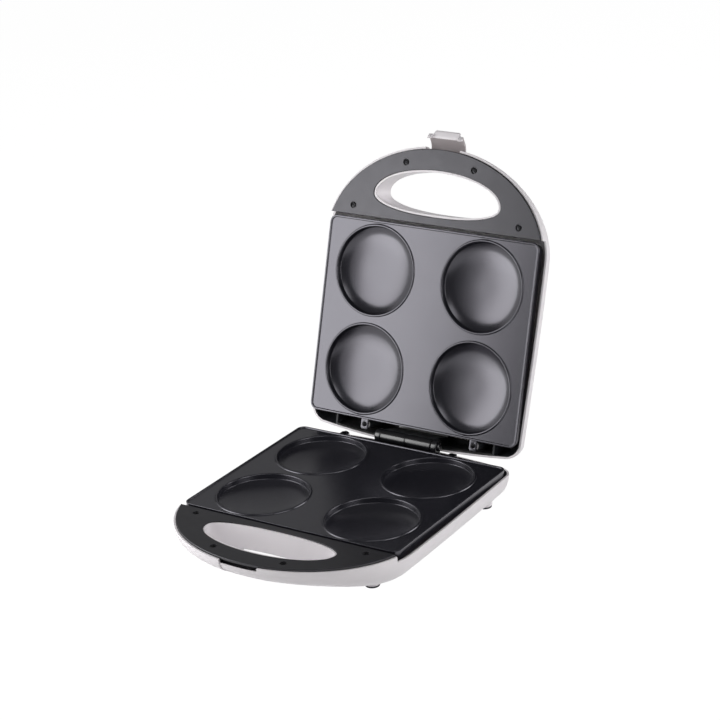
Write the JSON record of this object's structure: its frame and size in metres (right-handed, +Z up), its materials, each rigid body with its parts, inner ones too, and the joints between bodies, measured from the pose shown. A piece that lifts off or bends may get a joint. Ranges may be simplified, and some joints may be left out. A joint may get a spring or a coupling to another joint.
{
  "type": "arepa maker",
  "caption": "Countertop dough-cake cooker with round pockets in a lower and an upper heated plate, a hinged lid, a closing latch and open handles.",
  "frame": {"origin": "centre of the opened object in plan, at the underside of its feet", "axes": "+Z up; -Y towards the user and the handle of the base; +Y towards the hinge and the opened lid; +X to the right as the user sees it, along the hinge axis"},
  "size_m": [0.2674, 0.423, 0.3517],
  "materials": {
    "shell": "satin moulded, warm off-white",
    "trim": "satin black",
    "nonstick": "dark nonstick coating on a casting",
    "latch": "satin moulded, warm light grey",
    "hinge": "gloss black",
    "screw": "blackened",
    "steel": "plain pressed",
    "tray": "bright pressed sheet",
    "shield": "matte black sheet",
    "rubber": "matte",
    "element": "heat-darkened tube",
    "ceramic": "glazed ceramic, cream",
    "bakelite": "brown phenolic",
    "red_lens": "clear red",
    "green_lens": "clear green"
  },
  "bodies": {
    "base": {"base_housing": "shell", "lower_plate": "nonstick", "base_handle_trim": "trim", "base_heating_element": "element", "base_element_clamp": "steel", "base_reflector": "tray", "base_trim_screw_rear_right": "screw", "base_trim_screw_rear_left": "screw", "base_trim_screw_front_right": "screw", "base_trim_screw_front_left": "screw", "base_plate_screw_1": "screw", "base_plate_screw_2": "screw", "base_hinge_screw_1": "screw", "base_hinge_screw_2": "screw", "base_hinge_bracket": "hinge", "hinge_pin": "hinge", "base_rear_shield": "shield", "thermal_fuse": "ceramic", "mains_terminal_block": "ceramic", "cord_gland": "rubber", "foot_pad_rear_right": "rubber", "foot_pad_rear_left": "rubber", "foot_pad_front_right": "rubber", "foot_pad_front_left": "rubber"},
    "lid": {"lid_housing": "shell", "upper_plate": "nonstick", "lid_handle_trim": "trim", "lid_heating_element": "element", "lid_element_clamp": "steel", "lid_reflector": "tray", "lid_trim_screw_rear_right": "screw", "lid_trim_screw_rear_left": "screw", "lid_trim_screw_front_right": "screw", "lid_trim_screw_front_left": "screw", "lid_plate_screw_1": "screw", "lid_plate_screw_2": "screw", "lid_hinge_screw_1": "screw", "lid_hinge_screw_2": "screw", "lid_hinge_bracket": "hinge", "lid_rear_shield": "shield", "thermostat": "bakelite", "lid_terminal_block": "ceramic", "latch_pin": "steel", "power_lamp_lens": "red_lens", "ready_lamp_lens": "green_lens"},
    "latch": {"latch_clip": "latch"}
  },
  "joints": [
    {"name": "lid_hinge", "type": "hinge", "parent": "base", "child": "lid", "pos_m": [0, 0.09925, 0.0426], "axis": [1, 0, 0], "range_deg": [0, 108]},
    {"name": "latch_hinge", "type": "hinge", "parent": "lid", "child": "latch", "pos_m": [0, 0.20735, 0.32838], "axis": [1, 0, 0], "range_deg": [-40, 50]}
  ]
}
